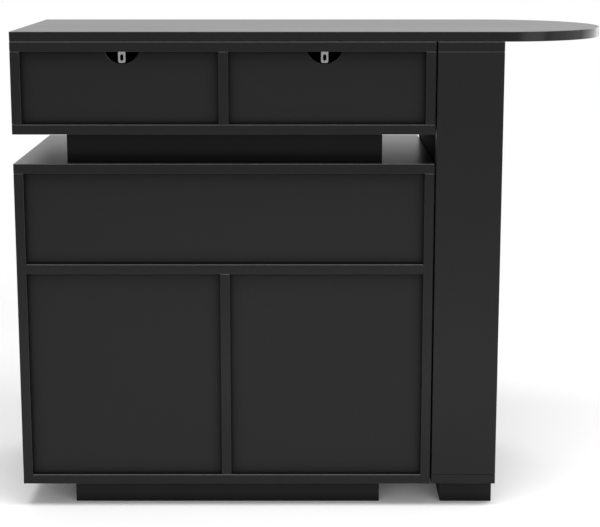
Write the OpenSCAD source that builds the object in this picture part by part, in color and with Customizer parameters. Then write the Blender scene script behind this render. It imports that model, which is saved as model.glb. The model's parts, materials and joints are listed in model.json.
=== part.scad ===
// Bar table with a two-part storage cabinet, a column and a round-ended top.
// Millimetres, +Z up. The rear side faces -Y, the drawers and doors face +Y.

/* [Table] */
// Height of the table surface above the floor
table_h = 1100; // [1060:1:1200]
// Depth from the rear edge to the front edge
depth = 500; // [470:1:560]
// Thickness of the table top
top_t = 22; // [19:0.5:32]
// How far the long edges of the table top stand back from the boards below
top_setback = 1; // [0:0.5:4]
// Thickness of the cabinet and column boards
board_t = 22; // [19:0.5:25]
// Width of the eased edge on every board
edge_ease = 1; // [0.5:0.1:1.5]

/* [Cabinets] */
// Clear width of each of the two bays that stand side by side
bay_w = 438; // [400:1:480]
// Clear height of the two upper drawer bays
upper_bay_h = 162; // [150:1:190]
// Clear height of the wide drawer bay
wide_bay_h = 208; // [190:1:230]
// Open gap between the upper and the lower cabinet
gap_h = 66; // [50:1:90]
// Height of the plinth and of the column's foot
plinth_h = 56; // [40:1:80]
// How far plinth and spacer stand in from the cabinet's ends
block_inset = 116; // [80:1:150]
// How far plinth, spacer and foot stand back from the front and rear edges
setback = 35; // [20:1:60]

/* [Column] */
// Gap between the cabinet and the column
column_gap = 3; // [2:0.5:6]
// Width of the column
column_w = 148; // [136:1:180]
// Width of the column's foot
foot_w = 120; // [90:1:125]
// How far the foot stands in from the column's outer side
foot_inset = 4; // [2:1:10]

/* [Back panels] */
// Thickness of the back panels
back_t = 8; // [5:0.5:10]
// How far the back panels lie in from the rear edges
back_inset = 12; // [8:1:16]
// Depth of the grooves that hold the back panels
groove_d = 6; // [4:0.5:7]
// Radius of the round notch in front of each hanger
notch_r = 41; // [36:1:50]
// Height of the notch's centre above the underside of the top board
notch_rise = 13; // [8:1:18]

/* [Hangers] */
// Width of the hanger plates
hanger_w = 16; // [14:1:24]
// How far a hanger's tab hangs below the top board
hanger_drop = 25.4; // [24:0.1:30]
// Thickness of the hanger plates
hanger_t = 2; // [1.5:0.1:2.5]
// Length of the hanger's flange under the top board
hanger_flange = 40; // [34:1:50]
// Radius of the rounded corners of the tab
hanger_corner = 4; // [2:0.5:6]
// Width of the upright slot
slot_w = 7.5; // [5:0.1:8]
// Length of the upright slot, end to end
slot_l = 14; // [11:0.5:15]
// Edge of the tab left below the slot
slot_foot = 4.8; // [4:0.1:8]

/* [Fronts] */
// Thickness of the drawer fronts and doors
front_t = 18; // [16:0.5:20]
// Gap round a drawer front and on the free side of a door
reveal = 2; // [1.5:0.1:3]
// Gap above and below a door and on its hinge side
door_gap = 3; // [3:0.1:4]

/* [Drawers] */
// Thickness of the drawer walls
wall_t = 12; // [11:0.5:15]
// Thickness of the drawer bottoms
bottom_t = 6; // [4:0.5:8]
// Height of the drawer bottom above the walls' lower edge
bottom_rise = 10; // [8:1:14]
// Depth of the groove that holds the drawer bottom
bottom_groove = 5; // [3:0.5:6]
// Height of the drawer walls above the bay's floor
drawer_lift = 12; // [8:1:16]
// Free height above the drawer walls
drawer_headroom = 38; // [12:1:44]
// Free space between a drawer and the back panel
drawer_rear_gap = 12; // [8:1:30]

/* [Drawer slides] */
// Height of the outer rail
slide_h = 45; // [40:1:50]
// Thickness of a closed slide between cabinet and drawer wall
slide_t = 12.7; // [12.5:0.1:14]
// Depth of the outer rail's channel
rail_d = 10.2; // [9.8:0.1:11]
// Length of the lips that keep one rail inside the next
lip = 3; // [2.5:0.1:4]
// Sheet thickness of the rails
gauge = 1.2; // [1:0.1:1.4]
// Running clearance between two rails
slide_run = 0.3; // [0.2:0.05:0.4]
// How far a slide's ends lie behind the drawer's ends
slide_end_gap = 5; // [3:1:12]

/* [Doors] */
// Radius of the pivot pins
pin_r = 3; // [2.5:0.1:3.5]
// Radial clearance of a pivot pin in the door
pin_run = 0.05; // [0.03:0.01:0.08]
// Distance of the pivot axis from the door's edge and from its front face
pivot_in = 7; // [6:0.5:8]
// Length of the pin inside the door
pin_bite = 11; // [8:1:16]
// Thickness of the pivot plates
pivot_plate_t = 1.5; // [1:0.1:2]

/* [Push latches] */
// Width and height of a latch body
latch_w = 12; // [10:1:16]
// Length of a latch body
latch_l = 60; // [50:1:80]
// Radius of the plunger
plunger_r = 3; // [2:0.1:4]
// Distance from the latch body to the divider
latch_offset = 8; // [4:1:30]
// How far the plunger can be pressed in
latch_stroke = 3; // [2:0.5:5]

/* [Shelves] */
// Thickness of the adjustable shelves
shelf_t = 18; // [16:0.5:22]
// How far a shelf stands back behind the door
shelf_front_gap = 32; // [25:1:60]
// Height of a shelf's underside above the floor of its bay
shelf_rise = 226; // [200:1:250]
// Radius of the shelf pins
shelf_pin_r = 2.5; // [2:0.1:3]
// Height step between the shelf pin holes
shelf_hole_pitch = 32; // [25:1:40]

/* [Fittings] */
// Distance of the corner fittings from the front and rear edges
fitting_inset = 60; // [50:1:80]
// Distance between a fitting and the dowel beside it
dowel_step = 32; // [25:1:40]
// Radius of the dowels
dowel_r = 4; // [3:0.5:5]
// Length of the dowels
dowel_l = 30; // [24:1:34]
// Radius of the cams
cam_r = 7.5; // [6:0.5:8.5]
// Depth of the cams
cam_d = 15; // [13:0.5:16]
// Distance of a cam's centre from the board's end
cam_reach = 34; // [24:1:36]
// Radius of the cam bolts
cam_bolt_r = 2.5; // [2:0.1:3]
// Radius of the bolts between cabinet and column
bolt_r = 4; // [3:0.5:5]
// Radius of those bolts' flat heads
bolt_head_r = 8.5; // [7:0.5:10]

/* [Hidden] */
$fn = 48;

// Colours
board_black = [0.16, 0.16, 0.165];
edge_black = [0.13, 0.13, 0.135];
panel_black = [0.19, 0.19, 0.195];
box_grey = [0.30, 0.30, 0.31];
steel = [0.62, 0.63, 0.65];
beech = [0.78, 0.62, 0.42];

// Clearances
fit = 0.1;
seat_gap = 0.3;
cut = 1;
end_points = 128;

// Places along X, from left to right
cabinet_w = 3 * board_t + 2 * bay_w;
total_w = cabinet_w + column_gap + column_w + depth / 2;
left_x = -total_w / 2;
cabinet_x = [left_x, left_x + cabinet_w];
clear_x = [cabinet_x[0] + board_t, cabinet_x[1] - board_t];
bay_x = [[clear_x[0], clear_x[0] + bay_w], [clear_x[1] - bay_w, clear_x[1]]];
divider_x = [bay_x[0][1], bay_x[1][0]];
upright_x = [cabinet_x[0] + board_t / 2, (divider_x[0] + divider_x[1]) / 2, cabinet_x[1] - board_t / 2];
block_x = [cabinet_x[0] + block_inset, cabinet_x[1] - block_inset];
column_x = [cabinet_x[1] + column_gap, cabinet_x[1] + column_gap + column_w];
foot_x = [column_x[1] - foot_inset - foot_w, column_x[1] - foot_inset];

// Places along Y, from rear to front
outer_y = [-depth / 2, depth / 2];
block_y = [outer_y[0] + setback, outer_y[1] - setback];
back_y = [outer_y[0] + back_inset, outer_y[0] + back_inset + back_t];
front_y = [outer_y[1] - front_t, outer_y[1]];
drawer_y = [back_y[1] + drawer_rear_gap, front_y[0]];
slide_y = [drawer_y[0] + slide_end_gap, drawer_y[1] - slide_end_gap];

// Places along Z, from the top down; the door bays take the height that is left
top_z = [table_h - top_t, table_h];
upper_top_z = [top_z[0] - board_t, top_z[0]];
upper_bay_z = [upper_top_z[0] - upper_bay_h, upper_top_z[0]];
upper_floor_z = [upper_bay_z[0] - board_t, upper_bay_z[0]];
gap_z = [upper_floor_z[0] - gap_h, upper_floor_z[0]];
lower_top_z = [gap_z[0] - board_t, gap_z[0]];
wide_bay_z = [lower_top_z[0] - wide_bay_h, lower_top_z[0]];
middle_z = [wide_bay_z[0] - board_t, wide_bay_z[0]];
lower_floor_z = [plinth_h, plinth_h + board_t];
door_bay_z = [lower_floor_z[1], middle_z[0]];
column_z = [plinth_h, top_z[0]];
column_clear_z = [column_z[0] + board_t, column_z[1] - board_t];

// Notches and hangers, a quarter of the clear width in from each side board
hanger_in = (clear_x[1] - clear_x[0]) / 4;
hanger_x = [clear_x[0] + hanger_in, clear_x[1] - hanger_in];
hanger_y = back_y[0];
screw_r = 2;
screw_head_r = 4;
pan_head_h = 1.8;
pan_head_taper = 0.8;
flat_head_rim = 0.4;
hanger_screw_l = 16;
hanger_screw_y = [16, 30];
top_screw_bite = 13;
top_screw_l = board_t + top_screw_bite;
top_screw_inset = [60, 70];

// Corner joints: [x, z, turn about Y, roll]. A joint's own +X runs from the butting
// board's end into the face of the other board, and its own -Z is the side of the cam.
up = -90;
down = 90;
upper_top_joints = [for (i = [0:2]) [upright_x[i], upper_bay_z[1], up, i == 2 ? 180 : 0]];
upper_floor_joints = [for (i = [0:2]) [upright_x[i], upper_bay_z[0], down, i == 2 ? 0 : 180]];
lower_top_joints = [for (i = [0, 2]) [upright_x[i], wide_bay_z[1], up, i == 2 ? 180 : 0]];
divider_top_joint = [upright_x[1], door_bay_z[1], up, 0];
divider_foot_joint = [upright_x[1], door_bay_z[0], down, 180];
middle_board_z = (middle_z[0] + middle_z[1]) / 2;
lower_floor_mid_z = (lower_floor_z[0] + lower_floor_z[1]) / 2;
left_end_joints = [for (z = [middle_board_z, lower_floor_mid_z]) [clear_x[0], z, 180, 180]];
right_end_joints = [for (z = [middle_board_z, lower_floor_mid_z]) [clear_x[1], z, 0, 0]];
all_joints = concat(upper_top_joints, upper_floor_joints, lower_top_joints,
    [divider_top_joint, divider_foot_joint], left_end_joints, right_end_joints);
fitting_y = depth / 2 - fitting_inset;
dowel_y = fitting_y - dowel_step;
cam_bolt_bite = 11;
cam_slot = [9, 1.6, 1.5];

// Dowels of the column: along its corners, and through its top and bottom boards
column_dowel_end = 90;
column_dowel_side = 34;
column_dowel_z = [
    column_clear_z[0] + column_dowel_end,
    (column_z[0] + column_z[1]) / 2,
    column_clear_z[1] - column_dowel_end
];
column_dowel_dx = column_w / 2 - column_dowel_side;

// Bolts that tie the column to the cabinet
bolt_y = [-110, 110];
bolt_rise = 150;
bolt_z = [upper_bay_z[1] - cam_reach, door_bay_z[0] + bolt_rise];
bolt_head_t = 2;

// Adjustable shelves
shelf_z = [door_bay_z[0] + shelf_rise, door_bay_z[0] + shelf_rise + shelf_t];
shelf_rear_gap = 2;
shelf_side_gap = 1;
shelf_y = [back_y[1] + shelf_rear_gap, front_y[0] - shelf_front_gap];
shelf_pin_bite = 8;
shelf_pin_out = 9;
shelf_pin_end = 40;
shelf_pin_y = [shelf_y[0] + shelf_pin_end, shelf_y[1] - shelf_pin_end];
shelf_pin_z = shelf_z[0] - shelf_pin_r - fit;
shelf_hole_steps = [-2:2];

// Doors: the pivot axes lie near the outer front edges
door_z = [door_bay_z[0] + door_gap, door_bay_z[1] - door_gap];
door_x = [[bay_x[0][0] + door_gap, bay_x[0][1] - reveal], [bay_x[1][0] + reveal, bay_x[1][1] - door_gap]];
pivot_x = [door_x[0][0] + pivot_in, door_x[1][1] - pivot_in];
pivot_y = front_y[1] - pivot_in;
pivot_plate = [34, 13];
pivot_collar_r = 5;

// Push latches under the middle board, one on each side of the divider
latch_x = [divider_x[0] - latch_offset - latch_w / 2, divider_x[1] + latch_offset + latch_w / 2];
latch_tip_y = front_y[0] - seat_gap;
latch_nose = 7;
latch_body_y = [latch_tip_y - latch_nose - latch_l, latch_tip_y - latch_nose];
latch_z = door_bay_z[1] - latch_w / 2;
plunger_l = 30;
plunger_tip = [4.2, 1.6];

// A plain block and a board with eased edges, both given by their ranges
module block(x, y, z) {
    translate([x[0], y[0], z[0]])
        cube([x[1] - x[0], y[1] - y[0], z[1] - z[0]]);
}

module eased_outline(w, h) {
    e = edge_ease;
    polygon([[e, 0], [w - e, 0], [w, e], [w, h - e], [w - e, h], [e, h], [0, h - e], [0, e]]);
}

module board(x, y, z) {
    w = x[1] - x[0];
    d = y[1] - y[0];
    h = z[1] - z[0];
    translate([x[0], y[0], z[0]])
        intersection() {
            linear_extrude(h) eased_outline(w, d);
            translate([0, d, 0]) rotate([90, 0, 0]) linear_extrude(d) eased_outline(w, h);
            rotate([90, 0, 90]) linear_extrude(w) eased_outline(d, h);
        }
}

// Corner fittings, drawn once for the piece and once, a little larger, for its hole
module at_joint(j) {
    translate([j[0], 0, j[1]])
        rotate([0, j[2], 0])
            rotate([j[3], 0, 0])
                children();
}

module cam_bolt(grow) {
    translate([-cam_reach, 0, 0])
        rotate([0, 90, 0])
            cylinder(r = cam_bolt_r + grow, h = cam_reach + cam_bolt_bite + grow);
}

module cam_hole() {
    translate([-cam_reach, 0, -board_t / 2 - cut]) cylinder(r = cam_r + fit, h = cam_d + cut + fit);
    cam_bolt(fit);
}

module cam_lock() {
    difference() {
        union() {
            translate([-cam_reach, 0, -board_t / 2]) cylinder(r = cam_r, h = cam_d);
            cam_bolt(0);
        }
        for (a = [0, 90])
            translate([-cam_reach, 0, -board_t / 2])
                rotate([0, 0, a])
                    cube([cam_slot[0], cam_slot[1], 2 * cam_slot[2]], center = true);
    }
}

module dowel(grow) {
    translate([-dowel_l / 2 - grow, 0, 0])
        rotate([0, 90, 0])
            cylinder(r = dowel_r + grow, h = dowel_l + 2 * grow);
}

module joint_holes(joints) {
    for (j = joints)
        at_joint(j)
            for (s = [-1, 1]) {
                translate([0, s * fitting_y, 0]) cam_hole();
                translate([0, s * dowel_y, 0]) dowel(fit);
            }
}

module column_dowels(grow) {
    middle_x = (column_x[0] + column_x[1]) / 2;
    for (s = [-1, 1]) {
        for (x = [column_x[0] + board_t / 2, column_x[1] - board_t / 2], z = column_dowel_z)
            translate([x, s * (depth / 2 - board_t), z]) rotate([0, 0, 90]) dowel(grow);
        for (t = [-1, 1], z = column_clear_z)
            translate([middle_x + t * column_dowel_dx, s * (depth - board_t) / 2, z])
                rotate([0, up, 0])
                    dowel(grow);
    }
}

// Holes for the bolts between cabinet and column, and the bolts themselves
module bolt_holes() {
    for (y = bolt_y, z = bolt_z)
        translate([clear_x[1] - cut, y, z])
            rotate([0, 90, 0])
                cylinder(r = bolt_r + fit, h = 2 * board_t + column_gap + 2 * cut);
}

module column_bolts() {
    grip = 2 * board_t + column_gap;
    color(steel)
        for (y = bolt_y, z = bolt_z)
            translate([clear_x[1], y, z])
                rotate([0, 90, 0]) {
                    cylinder(r = bolt_r, h = grip);
                    for (h = [-bolt_head_t, grip])
                        translate([0, 0, h]) cylinder(r = bolt_head_r, h = bolt_head_t);
                    translate([0, 0, board_t + fit])
                        difference() {
                            cylinder(r = bolt_head_r, h = column_gap - 2 * fit);
                            translate([0, 0, -cut]) cylinder(r = bolt_r + fit, h = column_gap + 2 * cut);
                        }
                }
}

// Grooves for the back panels: along one upright face, and along one lying face
function groove_y() = [back_y[0] - fit, back_y[1] + fit];

module upright_groove(face_x, side, z) {
    x = side > 0 ? [face_x - groove_d, face_x + cut] : [face_x - cut, face_x + groove_d];
    block(x, groove_y(), [z[0] - cut, z[1] + cut]);
}

module lying_groove(x, face_z, side) {
    z = side > 0 ? [face_z - cut, face_z + groove_d] : [face_z - groove_d, face_z + cut];
    block([x[0] - groove_d, x[1] + groove_d], groove_y(), z);
}

module back_panel(x, z) {
    tongue = groove_d - fit;
    block([x[0] - tongue, x[1] + tongue], back_y, [z[0] - tongue, z[1] + tongue]);
}

// Screws
module pan_screw(l) {
    translate([0, 0, -pan_head_h])
        cylinder(r1 = screw_head_r - pan_head_taper, r2 = screw_head_r, h = pan_head_h);
    cylinder(r = screw_r, h = l);
}

module flat_screw(l, grow) {
    cone = screw_head_r - screw_r;
    translate([0, 0, -grow]) cylinder(r = screw_head_r + grow, h = flat_head_rim + grow);
    translate([0, 0, flat_head_rim])
        cylinder(r1 = screw_head_r + grow, r2 = screw_r + grow, h = cone);
    cylinder(r = screw_r + grow, h = l + grow);
}

module at_top_screws() {
    for (b = bay_x, s = [-1, 1], t = [-1, 1])
        translate([
            (b[0] + b[1]) / 2 + s * (bay_w / 2 - top_screw_inset[0]),
            t * (depth / 2 - top_screw_inset[1]),
            upper_top_z[0]
        ])
            children();
    for (t = [-1, 1])
        translate([(column_x[0] + column_x[1]) / 2, t * (depth / 2 - top_screw_inset[1]), upper_top_z[0]])
            children();
}

module at_hanger_screws(z) {
    for (x = hanger_x, y = hanger_screw_y)
        translate([x, hanger_y + y, z])
            children();
}

module wood_screws() {
    color(steel) {
        at_top_screws() flat_screw(top_screw_l, 0);
        at_hanger_screws(upper_bay_z[1] - hanger_t) pan_screw(hanger_screw_l);
    }
}

// Table top with one square end and one half-round end
module tabletop() {
    y = inside(outer_y, top_setback);
    r = y[1];
    e = edge_ease;
    x = [left_x, -left_x - r];
    color(board_black)
        difference() {
            union() {
                intersection() {
                    board([x[0], x[1] + r], y, top_z);
                    block([x[0] - cut, x[1]], y, top_z);
                }
                translate([x[1], 0, top_z[0]])
                    rotate_extrude($fn = end_points)
                        polygon([[0, 0], [r - e, 0], [r, e], [r, top_t - e], [r - e, top_t], [0, top_t]]);
            }
            at_top_screws() flat_screw(top_screw_l, fit);
        }
}

// Upper cabinet
module upper_top_board() {
    color(board_black)
        difference() {
            board(cabinet_x, outer_y, upper_top_z);
            joint_holes(upper_top_joints);
            for (b = bay_x) lying_groove(b, upper_bay_z[1], 1);
            at_top_screws() flat_screw(top_screw_l, fit);
            at_hanger_screws(upper_bay_z[1] - hanger_t)
                cylinder(r = screw_r + fit, h = hanger_screw_l + fit);
        }
}

module upper_bottom_board() {
    color(board_black)
        difference() {
            board(cabinet_x, outer_y, upper_floor_z);
            joint_holes(upper_floor_joints);
            for (b = bay_x) lying_groove(b, upper_bay_z[0], -1);
        }
}

module upper_side_left() {
    color(board_black)
        difference() {
            board([cabinet_x[0], clear_x[0]], outer_y, upper_bay_z);
            joint_holes([upper_top_joints[0], upper_floor_joints[0]]);
            upright_groove(clear_x[0], 1, upper_bay_z);
        }
}

module upper_side_right() {
    color(board_black)
        difference() {
            board([clear_x[1], cabinet_x[1]], outer_y, upper_bay_z);
            joint_holes([upper_top_joints[2], upper_floor_joints[2]]);
            upright_groove(clear_x[1], -1, upper_bay_z);
            bolt_holes();
        }
}

module upper_divider() {
    color(board_black)
        difference() {
            board(divider_x, outer_y, upper_bay_z);
            joint_holes([upper_top_joints[1], upper_floor_joints[1]]);
            upright_groove(divider_x[0], -1, upper_bay_z);
            upright_groove(divider_x[1], 1, upper_bay_z);
        }
}

// An upper back panel has a half-round notch in front of its hanger
module upper_back(i) {
    color(panel_black)
        difference() {
            back_panel(bay_x[i], upper_bay_z);
            translate([hanger_x[i], back_y[0] - cut, upper_bay_z[1] + notch_rise])
                rotate([-90, 0, 0])
                    cylinder(r = notch_r, h = back_t + 2 * cut, $fn = end_points);
        }
}

module upper_back_left() {
    upper_back(0);
}

module upper_back_right() {
    upper_back(1);
}

// Hanger plate: a tab with an upright slot, and a flange screwed under the top board
module hanger_tab_outline() {
    c = hanger_corner;
    w = hanger_w / 2;
    slot_mid = -hanger_drop + slot_foot + slot_l / 2;
    slot_half = (slot_l - slot_w) / 2;
    difference() {
        union() {
            translate([-w, c - hanger_drop]) square([hanger_w, hanger_drop - c]);
            translate([c - w, -hanger_drop]) square([hanger_w - 2 * c, hanger_drop]);
            for (s = [-1, 1]) translate([s * (w - c), c - hanger_drop]) circle(r = c);
        }
        translate([0, slot_mid]) square([slot_w, 2 * slot_half], center = true);
        for (s = [-1, 1]) translate([0, slot_mid + s * slot_half]) circle(r = slot_w / 2);
    }
}

module hanger_brackets() {
    color(steel)
        for (x = hanger_x)
            translate([x, hanger_y, upper_bay_z[1]])
                difference() {
                    union() {
                        translate([0, hanger_t, 0]) rotate([90, 0, 0]) linear_extrude(hanger_t) hanger_tab_outline();
                        translate([-hanger_w / 2, 0, -hanger_t]) cube([hanger_w, hanger_flange, hanger_t]);
                    }
                    for (y = hanger_screw_y)
                        translate([0, y, -hanger_t - cut]) cylinder(r = screw_r + fit, h = hanger_t + 2 * cut);
                }
}

// A low box frame of boards: front and rear boards, with the end boards between them
module frame_rear(x, y, z) {
    color(edge_black) board(x, [y[0], y[0] + board_t], z);
}

module frame_front(x, y, z) {
    color(edge_black) board(x, [y[1] - board_t, y[1]], z);
}

module frame_ends(x, y, z) {
    between = [y[0] + board_t + fit, y[1] - board_t - fit];
    color(edge_black) {
        board([x[0], x[0] + board_t], between, z);
        board([x[1] - board_t, x[1]], between, z);
    }
}

module spacer_rear_board() {
    frame_rear(block_x, block_y, gap_z);
}

module spacer_front_board() {
    frame_front(block_x, block_y, gap_z);
}

module spacer_end_boards() {
    frame_ends(block_x, block_y, gap_z);
}

module plinth_rear_board() {
    frame_rear(block_x, block_y, [0, plinth_h]);
}

module plinth_front_board() {
    frame_front(block_x, block_y, [0, plinth_h]);
}

module plinth_end_boards() {
    frame_ends(block_x, block_y, [0, plinth_h]);
}

module column_foot() {
    frame_rear(foot_x, block_y, [0, plinth_h]);
    frame_front(foot_x, block_y, [0, plinth_h]);
    frame_ends(foot_x, block_y, [0, plinth_h]);
}

// Lower cabinet
module lower_top_board() {
    color(board_black)
        difference() {
            board(cabinet_x, outer_y, lower_top_z);
            joint_holes(lower_top_joints);
            lying_groove(clear_x, wide_bay_z[1], 1);
        }
}

// Rows of shelf pin holes in one upright face; side is +1 where the bay lies to the right
module shelf_holes(face_x, side) {
    from = side > 0 ? face_x - shelf_pin_bite - fit : face_x - cut;
    for (y = shelf_pin_y, k = shelf_hole_steps)
        translate([from, y, shelf_pin_z + k * shelf_hole_pitch])
            rotate([0, 90, 0])
                cylinder(r = shelf_pin_r + fit, h = shelf_pin_bite + fit + cut);
}

module lower_side_left() {
    z = [plinth_h, lower_top_z[0]];
    color(board_black)
        difference() {
            board([cabinet_x[0], clear_x[0]], outer_y, z);
            joint_holes(concat([lower_top_joints[0]], left_end_joints));
            upright_groove(clear_x[0], 1, z);
            shelf_holes(clear_x[0], 1);
        }
}

module lower_side_right() {
    z = [plinth_h, lower_top_z[0]];
    color(board_black)
        difference() {
            board([clear_x[1], cabinet_x[1]], outer_y, z);
            joint_holes(concat([lower_top_joints[1]], right_end_joints));
            upright_groove(clear_x[1], -1, z);
            shelf_holes(clear_x[1], -1);
            bolt_holes();
        }
}

module middle_board() {
    color(board_black)
        difference() {
            board(clear_x, outer_y, middle_z);
            joint_holes([left_end_joints[0], right_end_joints[0], divider_top_joint]);
            lying_groove(clear_x, wide_bay_z[0], -1);
            for (b = bay_x) lying_groove(b, door_bay_z[1], 1);
        }
}

module lower_divider() {
    color(board_black)
        difference() {
            board(divider_x, outer_y, door_bay_z);
            joint_holes([divider_top_joint, divider_foot_joint]);
            upright_groove(divider_x[0], -1, door_bay_z);
            upright_groove(divider_x[1], 1, door_bay_z);
            shelf_holes(divider_x[0], -1);
            shelf_holes(divider_x[1], 1);
        }
}

module lower_bottom_board() {
    color(board_black)
        difference() {
            board(clear_x, outer_y, lower_floor_z);
            joint_holes([left_end_joints[1], right_end_joints[1], divider_foot_joint]);
            for (b = bay_x) lying_groove(b, door_bay_z[0], -1);
        }
}

module lower_back_wide() {
    color(panel_black) back_panel(clear_x, wide_bay_z);
}

module lower_back_left() {
    color(panel_black) back_panel(bay_x[0], door_bay_z);
}

module lower_back_right() {
    color(panel_black) back_panel(bay_x[1], door_bay_z);
}

// Adjustable shelves and their pins
module shelf(b) {
    color(board_black) board([b[0] + shelf_side_gap, b[1] - shelf_side_gap], shelf_y, shelf_z);
}

module shelf_left() {
    shelf(bay_x[0]);
}

module shelf_right() {
    shelf(bay_x[1]);
}

module shelf_pin() {
    translate([-shelf_pin_bite, 0, 0])
        rotate([0, 90, 0])
            cylinder(r = shelf_pin_r, h = shelf_pin_bite + shelf_pin_out);
}

module shelf_pins() {
    color(steel)
        for (b = bay_x, y = shelf_pin_y) {
            translate([b[0], y, shelf_pin_z]) shelf_pin();
            translate([b[1], y, shelf_pin_z]) mirror([1, 0, 0]) shelf_pin();
        }
}

// Column: front and rear boards over two side boards, closed by a top and a bottom board
module column_board(x, y, z) {
    color(board_black)
        difference() {
            board(x, y, z);
            column_dowels(fit);
            children();
        }
}

module column_rear_board() {
    column_board(column_x, [outer_y[0], outer_y[0] + board_t], column_clear_z);
}

module column_front_board() {
    column_board(column_x, [outer_y[1] - board_t, outer_y[1]], column_clear_z);
}

module column_side_left() {
    x = [column_x[0], column_x[0] + board_t];
    column_board(x, [outer_y[0] + board_t, outer_y[1] - board_t], column_clear_z) bolt_holes();
}

module column_side_right() {
    x = [column_x[1] - board_t, column_x[1]];
    column_board(x, [outer_y[0] + board_t, outer_y[1] - board_t], column_clear_z);
}

module column_top_board() {
    z = [column_clear_z[1], column_z[1]];
    column_board(column_x, outer_y, z) at_top_screws() flat_screw(top_screw_l, fit);
}

module column_bottom_board() {
    column_board(column_x, outer_y, [column_z[0], column_clear_z[0]]);
}

module cam_locks() {
    color(steel)
        for (j = all_joints)
            at_joint(j)
                for (s = [-1, 1]) translate([0, s * fitting_y, 0]) cam_lock();
}

module dowels() {
    color(beech) {
        for (j = all_joints)
            at_joint(j)
                for (s = [-1, 1]) translate([0, s * dowel_y, 0]) dowel(0);
        column_dowels(0);
    }
}

// Drawer slides: an outer rail on the cabinet, a middle rail inside it, and an inner
// rail on the drawer. Each outline starts at the cabinet wall and opens towards the drawer.
step = gauge + slide_run;
middle_h = slide_h - 2 * step;
middle_d = rail_d - 2 * step;
inner_h = middle_h - 2 * step;
crown_h = middle_h - 2 * (lip + slide_run);

module channel_outline(h, d) {
    v = h / 2;
    g = gauge;
    polygon([
        [0, -v], [d, -v], [d, lip - v], [d - g, lip - v], [d - g, g - v], [g, g - v],
        [g, v - g], [d - g, v - g], [d - g, v - lip], [d, v - lip], [d, v], [0, v]
    ]);
}

module hat_outline(brim_h, top_h, d) {
    b = brim_h / 2;
    v = top_h / 2;
    g = gauge;
    polygon([
        [0, v - g], [0, b], [g, b], [g, v], [d, v], [d, -v], [g, -v], [g, -b], [0, -b],
        [0, g - v], [d - g, g - v], [d - g, v - g]
    ]);
}

module along_drawer(x, z) {
    translate([x, slide_y[1], z])
        rotate([90, 0, 0])
            linear_extrude(slide_y[1] - slide_y[0])
                children();
}

module outer_rail() {
    channel_outline(slide_h, rail_d);
}

module middle_rail() {
    translate([step, 0]) channel_outline(middle_h, middle_d);
}

module inner_rail() {
    translate([2 * step, 0]) hat_outline(inner_h, crown_h, slide_t - 2 * step);
}

// One rail on each side of a bay
module rail_pair(x, z) {
    mid_z = (z[0] + drawer_lift + z[1] - drawer_headroom) / 2;
    color(steel) {
        along_drawer(x[0], mid_z) children();
        along_drawer(x[1], mid_z) mirror([1, 0]) children();
    }
}

module slide_cabinet_rails() {
    for (b = bay_x) rail_pair(b, upper_bay_z) outer_rail();
    rail_pair(clear_x, wide_bay_z) outer_rail();
}

module drawer_left_middle_rails() {
    rail_pair(bay_x[0], upper_bay_z) middle_rail();
}

module drawer_right_middle_rails() {
    rail_pair(bay_x[1], upper_bay_z) middle_rail();
}

module wide_drawer_middle_rails() {
    rail_pair(clear_x, wide_bay_z) middle_rail();
}

module drawer_left_rails() {
    rail_pair(bay_x[0], upper_bay_z) inner_rail();
}

module drawer_right_rails() {
    rail_pair(bay_x[1], upper_bay_z) inner_rail();
}

module wide_drawer_rails() {
    rail_pair(clear_x, wide_bay_z) inner_rail();
}

// Drawers: a front, four walls with a groove round them, and a bottom panel in the groove
function box_x(x) = [x[0] + slide_t, x[1] - slide_t];
function box_z(z) = [z[0] + drawer_lift, z[1] - drawer_headroom];
function panel_z(z) = [box_z(z)[0] + bottom_rise, box_z(z)[0] + bottom_rise + bottom_t];
function inside(r, t) = [r[0] + t, r[1] - t];

module drawer_front(x, z) {
    color(board_black) board(inside(x, reveal), front_y, inside(z, reveal));
}

module drawer_walls(x, z) {
    bx = box_x(x);
    bz = box_z(z);
    between = inside(bx, wall_t + fit);
    tongue = wall_t - bottom_groove;
    color(box_grey)
        difference() {
            union() {
                block([bx[0], bx[0] + wall_t], drawer_y, bz);
                block([bx[1] - wall_t, bx[1]], drawer_y, bz);
                block(between, [drawer_y[0], drawer_y[0] + wall_t], bz);
                block(between, [drawer_y[1] - wall_t, drawer_y[1]], bz);
            }
            block(inside(bx, tongue), inside(drawer_y, tongue), inside(panel_z(z), -fit));
        }
}

module drawer_bottom(x, z) {
    edge = wall_t - bottom_groove + fit;
    color(box_grey) block(inside(box_x(x), edge), inside(drawer_y, edge), panel_z(z));
}

module drawer_left_front() {
    drawer_front(bay_x[0], upper_bay_z);
}

module drawer_left_walls() {
    drawer_walls(bay_x[0], upper_bay_z);
}

module drawer_left_bottom() {
    drawer_bottom(bay_x[0], upper_bay_z);
}

module drawer_right_front() {
    drawer_front(bay_x[1], upper_bay_z);
}

module drawer_right_walls() {
    drawer_walls(bay_x[1], upper_bay_z);
}

module drawer_right_bottom() {
    drawer_bottom(bay_x[1], upper_bay_z);
}

module wide_drawer_front() {
    drawer_front(clear_x, wide_bay_z);
}

module wide_drawer_walls() {
    drawer_walls(clear_x, wide_bay_z);
}

module wide_drawer_bottom() {
    drawer_bottom(clear_x, wide_bay_z);
}

// Doors and their pivots. A door turns on two pins, and its foot rides on a low collar.
module door(i) {
    color(board_black)
        difference() {
            board(door_x[i], front_y, door_z);
            for (z = [door_z[0] - cut, door_z[1] - pin_bite - seat_gap])
                translate([pivot_x[i], pivot_y, z])
                    cylinder(r = pin_r + pin_run, h = pin_bite + seat_gap + cut);
        }
}

module door_left() {
    door(0);
}

module door_right() {
    door(1);
}

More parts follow.
